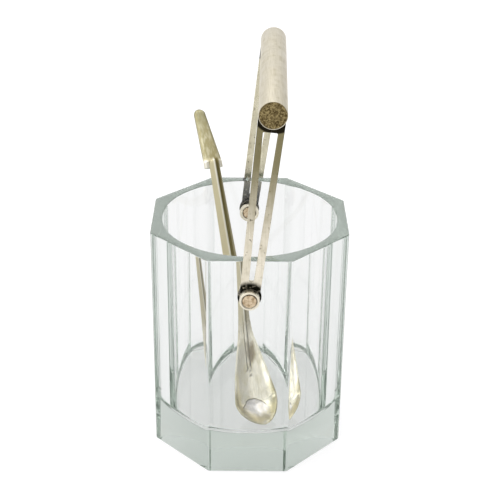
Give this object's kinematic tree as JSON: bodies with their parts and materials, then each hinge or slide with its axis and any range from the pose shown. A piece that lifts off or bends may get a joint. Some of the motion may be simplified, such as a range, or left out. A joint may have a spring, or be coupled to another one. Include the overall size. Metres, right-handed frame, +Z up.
{
  "type": "ice bucket",
  "caption": "Thick octagonal glass ice bucket with a silver-plated tube-grip bail on slotted strap legs, and an ice spoon standing in it.",
  "frame": {"origin": "centre of the flat glass base, on the surface that it stands on", "axes": "+Z up; the bail's pivot axis runs along Y, with the front wall at -Y; the bail leans towards +X at rest and the spoon towards -X"},
  "size_m": [0.12, 0.1529, 0.2505],
  "materials": {
    "glass": "clear crystal, polished, ground rim",
    "silver_plate": "worn satin silver plate with light tarnish",
    "tarnished_plate": "mottled brown tarnish on silver plate",
    "spoon_silver": "polished silver plate with yellow-green tarnish",
    "washer_fibre": "matte fibre",
    "sleeve_nylon": "translucent white nylon"
  },
  "bodies": {
    "bucket": {"glass_vessel": "glass", "front_pivot_screw": "silver_plate", "front_outer_washer": "washer_fibre", "front_glass_sleeve": "sleeve_nylon", "front_inner_washer": "washer_fibre", "front_cap_nut": "silver_plate", "rear_pivot_screw": "silver_plate", "rear_outer_washer": "washer_fibre", "rear_glass_sleeve": "sleeve_nylon", "rear_inner_washer": "washer_fibre", "rear_cap_nut": "silver_plate"},
    "bail": {"grip_tube": "silver_plate", "front_grip_cap": "tarnished_plate", "rear_grip_cap": "tarnished_plate", "front_strap_leg": "silver_plate", "rear_strap_leg": "silver_plate"},
    "spoon": {"spoon_blade": "spoon_silver", "spoon_paddle": "spoon_silver"}
  },
  "joints": [
    {"name": "bail_hinge", "type": "hinge", "parent": "bucket", "child": "bail", "pos_m": [0, 0, 0.1284], "axis": [0, 1, 0], "range_deg": [-22, 136]},
    {"name": "spoon_lift", "type": "slide", "parent": "bucket", "child": "spoon", "axis": [0, 0, 1], "range_m": [0, 0.13]}
  ]
}
